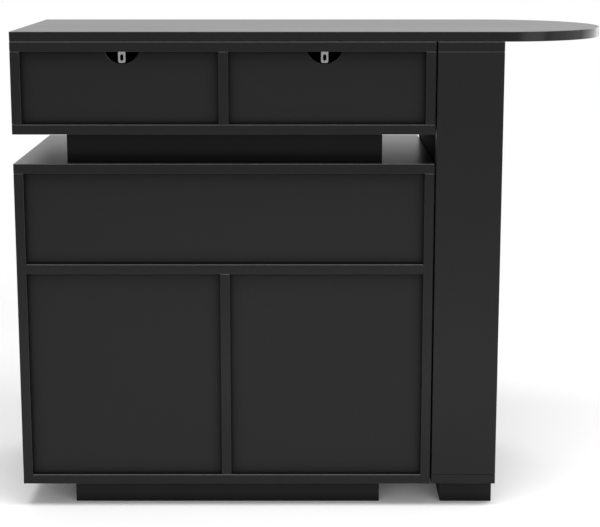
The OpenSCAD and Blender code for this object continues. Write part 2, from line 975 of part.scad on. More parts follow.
module pivot(i) {
    away = i == 0 ? -pivot_in : pivot_in - pivot_plate[0];
    translate([away, pivot_in - front_t / 2 - pivot_plate[1] / 2, 0])
        cube([pivot_plate[0], pivot_plate[1], pivot_plate_t]);
    cylinder(r = pivot_collar_r, h = door_gap - seat_gap);
    cylinder(r = pin_r, h = door_gap + pin_bite);
}

module door_pivots() {
    color(steel)
        for (i = [0, 1]) {
            translate([pivot_x[i], pivot_y, door_bay_z[0]]) pivot(i);
            translate([pivot_x[i], pivot_y, door_bay_z[1]]) mirror([0, 0, 1]) pivot(i);
        }
}

// Push latches: a body with a bore, and a sprung plunger with a soft tip
module push_latches() {
    bore = plunger_l - latch_nose + latch_stroke + cut;
    color(edge_black)
        for (x = latch_x)
            difference() {
                block([x - latch_w / 2, x + latch_w / 2], latch_body_y, [latch_z - latch_w / 2, door_bay_z[1]]);
                translate([x, latch_body_y[1] + cut, latch_z])
                    rotate([90, 0, 0])
                        cylinder(r = plunger_r + pin_run, h = bore + cut);
            }
}

module latch_plunger(i) {
    color(panel_black)
        translate([latch_x[i], latch_tip_y, latch_z])
            rotate([90, 0, 0]) {
                cylinder(r = plunger_r, h = plunger_l);
                cylinder(r = plunger_tip[0], h = plunger_tip[1]);
            }
}

module latch_plunger_left() {
    latch_plunger(0);
}

module latch_plunger_right() {
    latch_plunger(1);
}

tabletop();
upper_top_board();
upper_bottom_board();
upper_side_left();
upper_side_right();
upper_divider();
upper_back_left();
upper_back_right();
hanger_brackets();
wood_screws();
spacer_rear_board();
spacer_front_board();
spacer_end_boards();
lower_top_board();
lower_side_left();
lower_side_right();
middle_board();
lower_divider();
lower_bottom_board();
lower_back_wide();
lower_back_left();
lower_back_right();
shelf_left();
shelf_right();
shelf_pins();
plinth_rear_board();
plinth_front_board();
plinth_end_boards();
column_rear_board();
column_front_board();
column_side_left();
column_side_right();
column_top_board();
column_bottom_board();
column_foot();
slide_cabinet_rails();
cam_locks();
dowels();
column_bolts();
push_latches();
door_pivots();
drawer_left_front();
drawer_left_walls();
drawer_left_bottom();
drawer_left_rails();
drawer_right_front();
drawer_right_walls();
drawer_right_bottom();
drawer_right_rails();
wide_drawer_front();
wide_drawer_walls();
wide_drawer_bottom();
wide_drawer_rails();
drawer_left_middle_rails();
drawer_right_middle_rails();
wide_drawer_middle_rails();
door_left();
door_right();
latch_plunger_left();
latch_plunger_right();
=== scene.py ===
import json
import math

import bmesh
import bpy
from mathutils import Matrix, Vector


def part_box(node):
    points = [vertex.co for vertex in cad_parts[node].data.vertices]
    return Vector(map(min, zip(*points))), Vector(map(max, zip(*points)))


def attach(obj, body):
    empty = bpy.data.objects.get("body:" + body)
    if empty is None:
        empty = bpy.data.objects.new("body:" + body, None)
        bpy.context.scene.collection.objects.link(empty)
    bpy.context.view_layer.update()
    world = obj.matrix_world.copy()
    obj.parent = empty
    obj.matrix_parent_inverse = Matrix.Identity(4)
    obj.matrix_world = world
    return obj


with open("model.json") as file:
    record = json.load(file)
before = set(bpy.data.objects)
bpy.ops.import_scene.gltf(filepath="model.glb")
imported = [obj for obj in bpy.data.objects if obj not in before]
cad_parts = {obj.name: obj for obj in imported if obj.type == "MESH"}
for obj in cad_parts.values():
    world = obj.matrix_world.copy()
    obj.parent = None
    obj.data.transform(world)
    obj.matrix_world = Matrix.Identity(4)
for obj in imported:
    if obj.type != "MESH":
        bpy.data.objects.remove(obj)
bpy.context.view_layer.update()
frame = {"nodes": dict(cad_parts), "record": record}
mm = 0.001
print("frame loaded:", len(frame["nodes"]), "pieces")


# Camera: square on to the closed rear side, above the top, with some shift so that uprights lean little
cameraView = {
    "place": (-0.0306, -3.550, 1.3049),
    "lookDown": 10.088,  # degrees
    "lens": 89.657,  # on a 36 mm sensor, for a picture of 600 by 527
    "shift": (0.0, -0.101),
}


def makeCamera():
    data = bpy.data.cameras.new("camera")
    data.sensor_width = 36
    data.lens = cameraView["lens"]
    data.shift_x, data.shift_y = cameraView["shift"]
    data.clip_end = 60
    camera = bpy.data.objects.new("camera", data)
    camera.location = cameraView["place"]
    camera.rotation_euler = (math.radians(90 - cameraView["lookDown"]), 0, 0)
    bpy.context.scene.collection.objects.link(camera)
    bpy.context.scene.camera = camera


makeCamera()
print("camera placed")


# Node helpers
def grey(level):  # a grey as it is read off a picture, 0 to 255, in linear light
    c = level / 255
    return c / 12.92 if c <= 0.04045 else ((c + 0.055) / 1.055) ** 2.4


def greyColour(level, tint=(1, 1, 1)):
    return tuple(grey(level) * t for t in tint) + (1,)


def addNode(tree, kind, inputs=None, **settings):
    node = tree.nodes.new(kind)
    for name, value in settings.items():
        setattr(node, name, value)
    for name, value in (inputs or {}).items():
        if isinstance(value, bpy.types.NodeSocket):
            tree.links.new(value, node.inputs[name])
        else:
            node.inputs[name].default_value = value
    return node


def combine(tree, operation, a, b=0.0):
    return addNode(tree, "ShaderNodeMath", {0: a, 1: b}, operation=operation).outputs[0]


def blendColour(tree, factor, a, b):
    return addNode(tree, "ShaderNodeMix", {0: factor, 6: a, 7: b}, data_type="RGBA").outputs[2]


whole = (0.0, 1.0)


def rangeOf(tree, value, span, toSpan=whole):  # values past the ends of a span stay at its ends
    spans = {1: span[0], 2: span[1], 3: toSpan[0], 4: toSpan[1]}
    return addNode(tree, "ShaderNodeMapRange", {0: value, **spans}).outputs[0]


def makeGroup(name, inputs, outputs):
    tree = bpy.data.node_groups.new(name, "ShaderNodeTree")
    for label, kind, value in inputs:
        socket = tree.interface.new_socket(name=label, in_out="INPUT", socket_type="NodeSocket" + kind)
        if value is not None:
            socket.default_value = value
    for label, kind in outputs:
        tree.interface.new_socket(name=label, in_out="OUTPUT", socket_type="NodeSocket" + kind)
    return tree, tree.nodes.new("NodeGroupInput").outputs, tree.nodes.new("NodeGroupOutput").inputs


def useGroup(tree, group, **values):
    return addNode(tree, "ShaderNodeGroup", values, node_tree=group).outputs


# Effects that several finishes share, each with the values that shape it
grainForm = {
    "fine": {"Detail": 3.0, "Roughness": 0.6},
    "dimpleScale": 0.45,  # of the fine grain's
    "dimpleHeight": 0.7,
    "toneSpan": (0.5, 1.3),  # heights with the darkest and the palest tone
}


def makePressedGrain():  # the fine pressed grain of a melamine face
    tree, given, out = makeGroup(
        "pressedGrain",
        [("Place", "Vector", None), ("Scale", "Float", 900.0)],
        [("Height", "Float"), ("Tone", "Float")],
    )
    fine = addNode(tree, "ShaderNodeTexNoise", {"Vector": given["Place"], "Scale": given["Scale"],
                                                **grainForm["fine"]})
    dimpleScale = combine(tree, "MULTIPLY", given["Scale"], grainForm["dimpleScale"])
    cells = addNode(tree, "ShaderNodeTexVoronoi", {"Vector": given["Place"], "Scale": dimpleScale},
                    feature="SMOOTH_F1")
    dimples = combine(tree, "MULTIPLY", cells.outputs["Distance"], grainForm["dimpleHeight"])
    height = combine(tree, "ADD", fine.outputs["Fac"], dimples)
    tree.links.new(height, out["Height"])
    tree.links.new(rangeOf(tree, height, grainForm["toneSpan"]), out["Tone"])
    return tree


changeForm = {
    "noise": {"Detail": 5.0, "Roughness": 0.62, "Distortion": 0.6},
    "span": (0.3, 0.7),
}


def makeSlowChange():  # slow changes over a whole board: uneven gloss, wipe marks, a trace of dust
    tree, given, out = makeGroup(
        "slowChange",
        [("Place", "Vector", None), ("Scale", "Float", 3.0), ("Stretch", "Vector", (1, 1, 1))],
        [("Value", "Float")],
    )
    stretched = addNode(tree, "ShaderNodeVectorMath", {0: given["Place"], 1: given["Stretch"]},
                        operation="MULTIPLY")
    noise = addNode(tree, "ShaderNodeTexNoise", {"Vector": stretched.outputs[0], "Scale": given["Scale"],
                                                 **changeForm["noise"]})
    tree.links.new(rangeOf(tree, noise.outputs["Fac"], changeForm["span"]), out["Value"])
    return tree


bandingTurn = (0.75, 0.6)  # how far a normal still follows the axis, on a face and on an edge


def makeEdgeBanding():  # tells the faces of a board, which look along Axis, from its narrow edges
    tree, given, out = makeGroup(
        "edgeBanding",
        [("Normal", "Vector", None), ("Axis", "Vector", (0, 0, 1)), ("Along", "Float", 0.0),
         ("Across", "Float", 1.0)],
        [("Mask", "Float")],
    )
    along = addNode(tree, "ShaderNodeVectorMath", {0: given["Normal"], 1: given["Axis"]},
                    operation="DOT_PRODUCT")
    facing = combine(tree, "ABSOLUTE", along.outputs["Value"])
    tree.links.new(rangeOf(tree, facing, bandingTurn, (given["Along"], given["Across"])), out["Mask"])
    return tree


easedForm = {
    "turn": (0.98, 0.88),  # how far a normal still follows an axis, on a face and on a slanting strip
    "upward": (0.1, 0.35),  # its upright part, from where a strip counts as an upper one, which takes a painted highlight
}


def makeEasedEdge():  # 1 on the slanting eased edges between the square faces of a board, and a second mask for the upward ones, which take a painted highlight
    tree, given, out = makeGroup(
        "easedEdge",
        [("Normal", "Vector", None), ("Upright", "Float", 1.0)],  # Upright is 0 where an end is round
        [("Mask", "Float"), ("Upper", "Float")],
    )
    size = addNode(tree, "ShaderNodeVectorMath", {0: given["Normal"]}, operation="ABSOLUTE")
    parts = addNode(tree, "ShaderNodeSeparateXYZ", {0: size.outputs[0]}).outputs
    onSquareBoard = combine(tree, "MAXIMUM", parts[0], parts[1])
    squares = [combine(tree, "MULTIPLY", part, part) for part in (parts[0], parts[1])]
    onRoundEnd = combine(tree, "SQRT", combine(tree, "ADD", squares[0], squares[1]))
    sideways = rangeOf(tree, given["Upright"], whole, (onRoundEnd, onSquareBoard))
    straight = combine(tree, "MAXIMUM", sideways, parts[2])
    mask = rangeOf(tree, straight, easedForm["turn"])
    tree.links.new(mask, out["Mask"])
    up = addNode(tree, "ShaderNodeSeparateXYZ", {0: given["Normal"]}).outputs[2]
    facingUp = rangeOf(tree, up, easedForm["upward"])
    tree.links.new(combine(tree, "MULTIPLY", mask, facingUp), out["Upper"])
    return tree


wearForm = {
    "bend": (0.995, 0.9),  # likeness of the rounded and the flat normal, off an edge and on it
    "patches": (0.45, 0.7),
    "detail": 4.0,
}


def makeEdgeWear():  # rubbed edges, broken up by noise
    tree, given, out = makeGroup(
        "edgeWear",
        [("Place", "Vector", None), ("Radius", "Float", 0.0015), ("Scale", "Float", 60.0)],
        [("Mask", "Float")],
    )
    rounded = addNode(tree, "ShaderNodeBevel", {"Radius": given["Radius"]}, samples=4)
    flat = addNode(tree, "ShaderNodeNewGeometry")
    likeness = addNode(tree, "ShaderNodeVectorMath", {0: rounded.outputs[0], 1: flat.outputs["Normal"]},
                       operation="DOT_PRODUCT")
    edge = rangeOf(tree, likeness.outputs["Value"], wearForm["bend"])
    noise = addNode(tree, "ShaderNodeTexNoise", {"Vector": given["Place"], "Scale": given["Scale"],
                                                 "Detail": wearForm["detail"]})
    patches = rangeOf(tree, noise.outputs["Fac"], wearForm["patches"])
    tree.links.new(combine(tree, "MULTIPLY", edge, patches), out["Mask"])
    return tree


metalForm = {
    "lineDetail": 3.0,
    "lineTone": 0.6,
    "flakesPerMetre": 420.0,
    "flakeTone": 0.5,
}


def makeRolledMetal():  # drawn or rolled metal, with lines along one axis
    tree, given, out = makeGroup(
        "rolledMetal",
        [("Place", "Vector", None), ("Lines", "Vector", (900, 12, 900))],
        [("Height", "Float"), ("Tone", "Float")],
    )
    stretched = addNode(tree, "ShaderNodeVectorMath", {0: given["Place"], 1: given["Lines"]},
                        operation="MULTIPLY")
    lines = addNode(tree, "ShaderNodeTexNoise", {"Vector": stretched.outputs[0], "Scale": 1.0,
                                                 "Detail": metalForm["lineDetail"]})
    flakes = addNode(tree, "ShaderNodeTexVoronoi", {"Vector": given["Place"],
                                                    "Scale": metalForm["flakesPerMetre"]})
    tree.links.new(lines.outputs["Fac"], out["Height"])
    lineTone = combine(tree, "MULTIPLY", lines.outputs["Fac"], metalForm["lineTone"])
    flakeTone = combine(tree, "MULTIPLY", flakes.outputs["Distance"], metalForm["flakeTone"])
    tree.links.new(combine(tree, "ADD", lineTone, flakeTone), out["Tone"])
    return tree


# Painted shade: board colour darkened where the Ambient Occlusion node finds corners, recesses and gaps
cornerOpenness = (0.5, 1.0)  # in a right angle, and in the open

# Painted shade: the narrow gap between cabinet and column lies in deep shade, so its colour is painted
# dark up to the table top
columnGapShade = {
    "reach": (0.0025, 0.0029),  # metres from its middle to the end of the shade, and to the full colour
    "left": 0.15,  # of the colour left in it under the painted shade
    "below": 0.0005,  # metres under the table top, where it ends
}


def makePaintedBoardShade():  # what is left of a board's colour under painted shade: all in the open, least in a right angle
    tree, given, out = makeGroup(
        "boardShade",
        [("Place", "Vector", None), ("Openness", "Float", 1.0), ("Least", "Float", 0.45)],
        [("Left", "Float")],
    )
    corner = rangeOf(tree, given["Openness"], cornerOpenness, (given["Least"], 1.0))
    middle = (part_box("lower_side_right")[1].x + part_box("column_side_left")[0].x) / 2
    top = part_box("tabletop")[0].z - columnGapShade["below"]
    spot = addNode(tree, "ShaderNodeSeparateXYZ", {0: given["Place"]}).outputs
    away = combine(tree, "ABSOLUTE", combine(tree, "SUBTRACT", spot[0], middle))
    inside = rangeOf(tree, away, columnGapShade["reach"], (columnGapShade["left"], 1.0))
    gap = combine(tree, "MAXIMUM", inside, combine(tree, "GREATER_THAN", spot[2], top))
    tree.links.new(combine(tree, "MULTIPLY", corner, gap), out["Left"])
    return tree


pressedGrain = makePressedGrain()
slowChange = makeSlowChange()
edgeBanding = makeEdgeBanding()
easedEdge = makeEasedEdge()
edgeWear = makeEdgeWear()
rolledMetal = makeRolledMetal()
boardShade = makePaintedBoardShade()
print("shared effects ready")


def startMaterial(name):
    material = bpy.data.materials.new(name)
    material.use_nodes = True
    tree = material.node_tree
    shader = tree.nodes["Principled BSDF"]
    place = addNode(tree, "ShaderNodeTexCoord").outputs
    return material, tree, shader, place


def addBump(tree, shader, height, strength, depth):
    bump = addNode(tree, "ShaderNodeBump", {"Height": height, "Strength": strength, "Distance": depth})
    tree.links.new(bump.outputs["Normal"], shader.inputs["Normal"])


# Which way the faces of a board look. Ring is for upright boards set in a rectangle.
boardSides = {
    "X": {"Axis": (1, 0, 0)},
    "Y": {"Axis": (0, 1, 0)},
    "Z": {"Axis": (0, 0, 1)},
    "Ring": {"Axis": (0, 0, 1), "Along": 1.0, "Across": 0.0},
}


# Black melamine board, satin, with glossier banding on its narrow edges
blackMelamine = {
    "faceLevel": 22,  # greys as they are read off a picture, 0 to 255
    "edgeLevel": 21,
    "easedLevel": 44,  # milled edges are a little paler, partly a painted highlight along them
    "upperLevel": 118,  # and the upper ones carry a painted highlight, as if light from above caught them
    "wornLevel": 70,
    "worn": 0.35,  # how much of a rubbed edge takes that level
    "toneSpread": 0.22,
    "faceRoughness": 0.38,
    "edgeRoughness": 0.30,
    "glossSpread": 0.07,
    "glossPatches": {"Scale": 2.6, "Stretch": (1, 1.6, 1)},
    "specular": 0.12,
    "grainPerMetre": 1100.0,
    "grainDepth": 0.00003,
    "grainStrength": 0.6,
    "grainOnEdge": 0.4,  # of the grain on a face
    "upright": 1.0,  # and 0 for a board with a round end
    "crease": (0.03, 0.45),  # painted shade in corners: how far it reaches, in metres, and what is left of the colour in it
}
tableTop = dict(blackMelamine, edgeLevel=14, upperLevel=108, specular=0.18, faceRoughness=0.32,
                edgeRoughness=0.22, glossSpread=0.025, upright=0.0)
lowBoard = dict(blackMelamine, easedLevel=22, upperLevel=20)  # with no paler edges and no painted highlight, its joint shows only as a faint dark line
mattBoard = dict(blackMelamine, edgeLevel=22, specular=0.07, faceRoughness=0.6, edgeRoughness=0.5)
# Painted shade: a darker copy for the spacer boards, which sit set back in shade between the lower top and
# the upper cabinet
shadedBoard = dict(mattBoard, faceLevel=20, edgeLevel=19, crease=(0.06, 0.6))
# Painted shade: a darker copy, with almost no reflection, for the column side that faces into the shaded
# niche
hiddenBoard = dict(mattBoard, faceLevel=15, edgeLevel=24, specular=0.02, faceRoughness=0.7)
thinPanel = dict(blackMelamine, faceLevel=28, edgeLevel=40, specular=0.07, faceRoughness=0.55,
                 edgeRoughness=0.6, crease=(0.03, 0.38))
drawerBoard = dict(blackMelamine, faceLevel=66, edgeLevel=58, easedLevel=80, upperLevel=110, wornLevel=110,
                   faceRoughness=0.5, edgeRoughness=0.42, grainPerMetre=700.0, specular=0.4)


def colourMelamine(tree, place, finish, tone, band):
    worn = useGroup(tree, edgeWear, Place=place["Object"])["Mask"]
    eased = useGroup(tree, easedEdge, Normal=place["Normal"], Upright=finish["upright"])
    # painted shade in corners and in the gap beside the column, laid on the base colour
    reach, least = finish["crease"]
    openness = addNode(tree, "ShaderNodeAmbientOcclusion", {"Distance": reach}, samples=8).outputs["AO"]
    shade = useGroup(tree, boardShade, Place=place["Object"], Openness=openness, Least=least)["Left"]
    low, high = (finish["faceLevel"] * (1 + part * finish["toneSpread"] / 2) for part in (-1, 1))
    face = blendColour(tree, tone, greyColour(low), greyColour(high))
    banded = blendColour(tree, band, face, greyColour(finish["edgeLevel"]))
    milled = blendColour(tree, eased["Mask"], banded, greyColour(finish["easedLevel"]))
    shaded = blendColour(tree, shade, (0, 0, 0, 1), milled)
    # painted highlight on the upward eased edges
    highlighted = blendColour(tree, eased["Upper"], shaded, greyColour(finish["upperLevel"]))
    rubbing = combine(tree, "MULTIPLY", worn, finish["worn"])
    return blendColour(tree, rubbing, highlighted, greyColour(finish["wornLevel"]))


def makeMelamine(name, side, finish):
    material, tree, shader, place = startMaterial(name)
    grain = useGroup(tree, pressedGrain, Place=place["Object"], Scale=finish["grainPerMetre"])
    band = useGroup(tree, edgeBanding, Normal=place["Normal"], **boardSides[side])["Mask"]
    colour = colourMelamine(tree, place, finish, grain["Tone"], band)
    tree.links.new(colour, shader.inputs["Base Color"])
    patches = useGroup(tree, slowChange, Place=place["Object"], **finish["glossPatches"])["Value"]
    change = rangeOf(tree, patches, whole, (-finish["glossSpread"] / 2, finish["glossSpread"] / 2))
    plain = rangeOf(tree, band, whole, (finish["faceRoughness"], finish["edgeRoughness"]))
    tree.links.new(combine(tree, "ADD", plain, change), shader.inputs["Roughness"])
    shader.inputs["Specular IOR Level"].default_value = finish["specular"]
    quiet = rangeOf(tree, band, whole, (1.0, finish["grainOnEdge"]))
    pressed = combine(tree, "MULTIPLY", grain["Height"], quiet)
    addBump(tree, shader, pressed, finish["grainStrength"], finish["grainDepth"])
    return material


# Zinc plated steel of slides, hangers, pins and screws
zincSteel = {
    "dullLevel": 118,
    "brightLevel": 165,
    "wornLevel": 225,
    "worn": 0.5,
    "tint": (0.97, 0.985, 1.0),
    "cloudsPerMetre": 25.0,
    "cloudTone": (0.8, 1.15),
    "wear": {"Radius": 0.0006, "Scale": 300.0},
    "roughness": (0.26, 0.44),
    "lineDepth": 0.00001,
    "lineStrength": 0.4,
}
railLines = (900, 14, 900)  # per metre, on rails rolled along the slide
fittingLines = (260, 260, 900)


def makeZinc(name, lines):
    material, tree, shader, place = startMaterial(name)
    metal = useGroup(tree, rolledMetal, Place=place["Object"], Lines=lines)
    cloud = useGroup(tree, slowChange, Place=place["Object"], Scale=zincSteel["cloudsPerMetre"])["Value"]
    worn = useGroup(tree, edgeWear, Place=place["Object"], **zincSteel["wear"])["Mask"]
    clouded = rangeOf(tree, cloud, whole, zincSteel["cloudTone"])
    tone = combine(tree, "MULTIPLY", metal["Tone"], clouded)
    plated = blendColour(tree, tone, greyColour(zincSteel["dullLevel"], zincSteel["tint"]),
                         greyColour(zincSteel["brightLevel"], zincSteel["tint"]))
    rubbing = combine(tree, "MULTIPLY", worn, zincSteel["worn"])
    bright = blendColour(tree, rubbing, plated, greyColour(zincSteel["wornLevel"]))
    tree.links.new(bright, shader.inputs["Base Color"])
    shader.inputs["Metallic"].default_value = 1.0
    roughness = rangeOf(tree, cloud, whole, zincSteel["roughness"])
    tree.links.new(roughness, shader.inputs["Roughness"])
    addBump(tree, shader, metal["Height"], zincSteel["lineStrength"], zincSteel["lineDepth"])
    return material


# Raw beech of the dowels
beechWood = {
    "early": (0.66, 0.47, 0.29, 1),
    "late": (0.45, 0.28, 0.15, 1),
    "roughness": 0.6,
    "fibres": (700, 60, 700),  # per metre
    "cloudsPerMetre": 40.0,
    "fibreDepth": 0.00005,
    "fibreStrength": 0.5,
}


def makeBeech(name):
    material, tree, shader, place = startMaterial(name)
    fibres = useGroup(tree, rolledMetal, Place=place["Object"], Lines=beechWood["fibres"])
    cloud = useGroup(tree, slowChange, Place=place["Object"], Scale=beechWood["cloudsPerMetre"])["Value"]
    late = combine(tree, "MULTIPLY", fibres["Tone"], cloud)
    wood = blendColour(tree, late, beechWood["early"], beechWood["late"])
    tree.links.new(wood, shader.inputs["Base Color"])
    shader.inputs["Roughness"].default_value = beechWood["roughness"]
    addBump(tree, shader, fibres["Height"], beechWood["fibreStrength"], beechWood["fibreDepth"])
    return material


# Black plastic of the push latches
mouldedPlastic = {
    "level": 24,
    "wornLevel": 57.6,
    "worn": 0.4,
    "wear": {"Radius": 0.0005, "Scale": 400.0},
    "roughness": (0.42, 0.55),
    "grainPerMetre": 2600.0,
    "grainDepth": 0.00002,
    "grainStrength": 0.5,
}


def makePlastic(name):
    material, tree, shader, place = startMaterial(name)
    grain = useGroup(tree, pressedGrain, Place=place["Object"], Scale=mouldedPlastic["grainPerMetre"])
    worn = useGroup(tree, edgeWear, Place=place["Object"], **mouldedPlastic["wear"])["Mask"]
    rubbing = combine(tree, "MULTIPLY", worn, mouldedPlastic["worn"])
    colour = blendColour(tree, rubbing, greyColour(mouldedPlastic["level"]),
                         greyColour(mouldedPlastic["wornLevel"]))
    tree.links.new(colour, shader.inputs["Base Color"])
    roughness = rangeOf(tree, grain["Tone"], whole, mouldedPlastic["roughness"])
    tree.links.new(roughness, shader.inputs["Roughness"])
    addBump(tree, shader, grain["Height"], mouldedPlastic["grainStrength"], mouldedPlastic["grainDepth"])
    return material


# Finishes by name: a board's finish is made once for each way that its faces look
boardFinishes = {
    "black_board": ("blackBoard", blackMelamine),
    "black_panel": ("blackPanel", thinPanel),
    "drawer_board": ("drawerBoard", drawerBoard),
    "matt_board": ("mattBoard", mattBoard),
    "shaded_board": ("shadedBoard", shadedBoard),
}
finishes = {
    "table_top": makeMelamine("tableTop", "Z", tableTop),
    "hidden_board": makeMelamine("hiddenBoard", "X", hiddenBoard),
    "low_board": makeMelamine("lowBoard", "Z", lowBoard),
    "rail": makeZinc("zincRail", railLines),
    "zinc_steel": makeZinc("zincSteel", fittingLines),
    "beech": makeBeech("beechWood"),
    "black_plastic": makePlastic("blackPlastic"),
}
for slot, (name, finish) in boardFinishes.items():
    for side in boardSides:
        finishes[slot + side] = makeMelamine(name + side, side, finish)
print("finishes ready:", len(finishes))


# The two tops, and single boards that stay in shade, have a finish of their own; the column's left side is
# painted darker as shade
ownFinish = {
    "tabletop": "table_top",
    "lower_top_board": "table_top",
    "column_side_left": "hidden_board",
    "column_bottom_board": "low_board",
}
# Boards that are set back have a duller kind of melamine than the rest, and the spacer boards are also
# painted darker as shade
setBack = {
    "plinth_rear_board": "matt_board",
    "plinth_front_board": "matt_board",
    "plinth_end_boards": "matt_board",
    "column_foot": "matt_board",
    "spacer_rear_board": "shaded_board",
    "spacer_front_board": "shaded_board",
    "spacer_end_boards": "shaded_board",
}


def boardSide(node):
    if node.endswith("_walls") or node == "column_foot":
        return "Ring"
    if node.endswith("_end_boards"):
        return "X"
    low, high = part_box(node)
    size = list(high - low)
    return "XYZ"[size.index(min(size))]


def finishOf(node, slot):
    if node in ownFinish:
        return finishes[ownFinish[node]]
    if node.endswith("rails"):
        return finishes["rail"]
    if slot in boardFinishes:
        return finishes[setBack.get(node, slot) + boardSide(node)]
    return finishes[slot]


def dressNodes():
    for part in frame["record"]["subparts"]:
        slots = frame["nodes"][part["node"]].data.materials
        slots.clear()
        slots.append(finishOf(part["node"], part["material_slot"]))


dressNodes()
print("finishes on the packed pieces")


# Screw heads with a cross recess, which show once a drawer or a door is open
panHead = {
    "radius": 3.6,  # millimetres, as all sizes of screws here
    "rise": 1.7,
    "dome": ((1, 0.3), (0.97, 0.6), (0.86, 0.86), (0.62, 1)),  # its outline in parts of radius and rise
    "sink": 0.05,
    "arm": 2.1,
    "armWidth": 0.75,
    "armTaper": 0.8,
    "depth": 1.0,
    "steps": 32,
    "turnEach": 0.7,  # radians that each head is turned on from the last
    "sharpFrom": 35,  # degrees
}
smallPanHead = dict(panHead, radius=2.7, rise=1.2, arm=1.6, armWidth=0.6, depth=0.7)
sunkHead = dict(panHead, radius=3.2, rise=0.3, dome=((1, 0.3), (0.99, 0.6), (0.97, 0.86), (0.8, 1)),
                arm=1.9, armWidth=0.7, depth=0.25)


sameSpot = 0.001 * mm  # points closer than this are one


def spinDome(build, head):  # a round head that is open on top
    radius, rise, sink = (head[name] * mm for name in ("radius", "rise", "sink"))
    profile = [(0, -sink), (radius, -sink)] + [(radius * out, rise * up) for out, up in head["dome"]]
    dots = [build.verts.new((r, 0, z)) for r, z in profile]
    lines = [build.edges.new(pair) for pair in zip(dots, dots[1:])]
    bmesh.ops.spin(build, geom=dots + lines, cent=(0, 0, 0), axis=(0, 0, 1), angle=math.tau,
                   steps=head["steps"], use_merge=True, use_duplicate=False)
    bmesh.ops.remove_doubles(build, verts=build.verts, dist=sameSpot)


def sinkCross(build, head):  # closes the top round a cross recess
    rise, arm, half = head["rise"] * mm, head["arm"] * mm, head["armWidth"] * mm / 2
    topRing = [e for e in build.edges if all(abs(end.co.z - rise) < sameSpot for end in e.verts)]
    corners = [(arm, -half), (arm, half), (half, half)]
    for quarter in range(3):
        corners += [(-y, x) for x, y in corners[-3:]]
    mouth = [build.verts.new((x, y, rise)) for x, y in corners]
    mouthEdges = [build.edges.new(pair) for pair in zip(mouth, mouth[1:] + mouth[:1])]
    bmesh.ops.triangle_fill(build, edges=topRing + mouthEdges, use_beauty=True)
    lid = build.faces.new(mouth)  # only here to be extruded
    sunk = bmesh.ops.extrude_face_region(build, geom=[lid])["geom"]
    bmesh.ops.delete(build, geom=[lid], context="FACES_ONLY")
    bottom = [item for item in sunk if isinstance(item, bmesh.types.BMVert)]
    bmesh.ops.scale(build, vec=(head["armTaper"], head["armTaper"], 1), verts=bottom)
    bmesh.ops.translate(build, vec=(0, 0, -head["depth"] * mm), verts=bottom)


def makeHead(head):
    build = bmesh.new()
    spinDome(build, head)
    sinkCross(build, head)
    mesh = bpy.data.meshes.new("head")
    build.to_mesh(mesh)
    build.free()
    return mesh


def makeScrews(name, body, heads):  # all screws on one body, as one piece
    build = bmesh.new()
    for count, (head, spot, facing) in enumerate(heads):
        one = makeHead(head)
        upright = Vector(facing).to_track_quat("Z", "Y").to_matrix().to_4x4()
        turned = Matrix.Rotation(head["turnEach"] * count, 4, "Z")
        one.transform(Matrix.Translation(spot) @ upright @ turned)
        build.from_mesh(one)
        bpy.data.meshes.remove(one)
    bmesh.ops.recalc_face_normals(build, faces=build.faces)
    for face in build.faces:
        face.smooth = True
    for edge in build.edges:
        if len(edge.link_faces) == 2 and edge.calc_face_angle() > math.radians(panHead["sharpFrom"]):
            edge.smooth = False
    mesh = bpy.data.meshes.new(name)
    build.to_mesh(mesh)
    build.free()
    mesh.materials.append(finishes["zinc_steel"])
    piece = bpy.data.objects.new(name, mesh)
    bpy.context.scene.collection.objects.link(piece)
    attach(piece, body)


# Inside each drawer four screws hold the front, and three hold each rail to the drawer's side
drawerScrews = {
    "fromSide": 46,  # millimetres, from the outsides of the walls
    "fromBottom": 39,
    "fromTop": 22,
    "wall": 12,
    "railSeat": 8.5,  # from the rail's outer edge in to the face that carries the screws
    "railSpots": (0.06, 0.5, 0.94),  # in parts of the rail's length
}


def makeDrawerScrews(drawer):
    low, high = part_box(drawer + "_walls")
    inset = drawerScrews["fromSide"] * mm
    face = high.y - drawerScrews["wall"] * mm
    heads = [(panHead, (x, face, z), (0, -1, 0)) for x in (low.x + inset, high.x - inset)
             for z in (low.z + drawerScrews["fromBottom"] * mm, high.z - drawerScrews["fromTop"] * mm)]
    low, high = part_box(drawer + "_rails")
    seat, middle = drawerScrews["railSeat"] * mm, (low.z + high.z) / 2
    for part in drawerScrews["railSpots"]:
        y = low.y + part * (high.y - low.y)
        heads.append((panHead, (low.x + seat, y, middle), (-1, 0, 0)))
        heads.append((panHead, (high.x - seat, y, middle), (1, 0, 0)))
    makeScrews(drawer + "_screws", drawer, heads)


for drawer in ("drawer_left", "drawer_right", "wide_drawer"):
    makeDrawerScrews(drawer)


# Two sunk screws in each pivot plate, two small ones under each latch body
fittingScrews = {
    "plate": 1.5,  # millimetres, its thickness
    "plateSpots": (18.5, 29),  # from the plate's end by the pin
    "plateMiddle": 6.5,  # from the plate's rear edge
    "latchSpots": (8, 24),  # from the latch body's rear end
}


def makeFittingScrews():
    heads = []
    low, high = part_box("door_pivots")
    plate = fittingScrews["plate"] * mm
    y = low.y + fittingScrews["plateMiddle"] * mm
    for along in fittingScrews["plateSpots"]:
        for x in (low.x + along * mm, high.x - along * mm):
            heads.append((sunkHead, (x, y, low.z + plate), (0, 0, 1)))
            heads.append((sunkHead, (x, y, high.z - plate), (0, 0, -1)))
    low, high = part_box("push_latches")
    half = (high.z - low.z) / 2
    for along in fittingScrews["latchSpots"]:
        for x in (low.x + half, high.x - half):
            heads.append((smallPanHead, (x, low.y + along * mm, low.z), (0, 0, -1)))
    makeScrews("fitting_screws", "carcass", heads)


makeFittingScrews()
print("screw heads added")


# Softly rounded look for the eased edges: the slanting strips take the normals of the faces beside them
softening = {
    "slots": ("black_board", "black_panel", "drawer_board"),
    "merge": 0.00001,  # metres
    "sharpFrom": 50,  # degrees
    "faceWeight": 100,
}


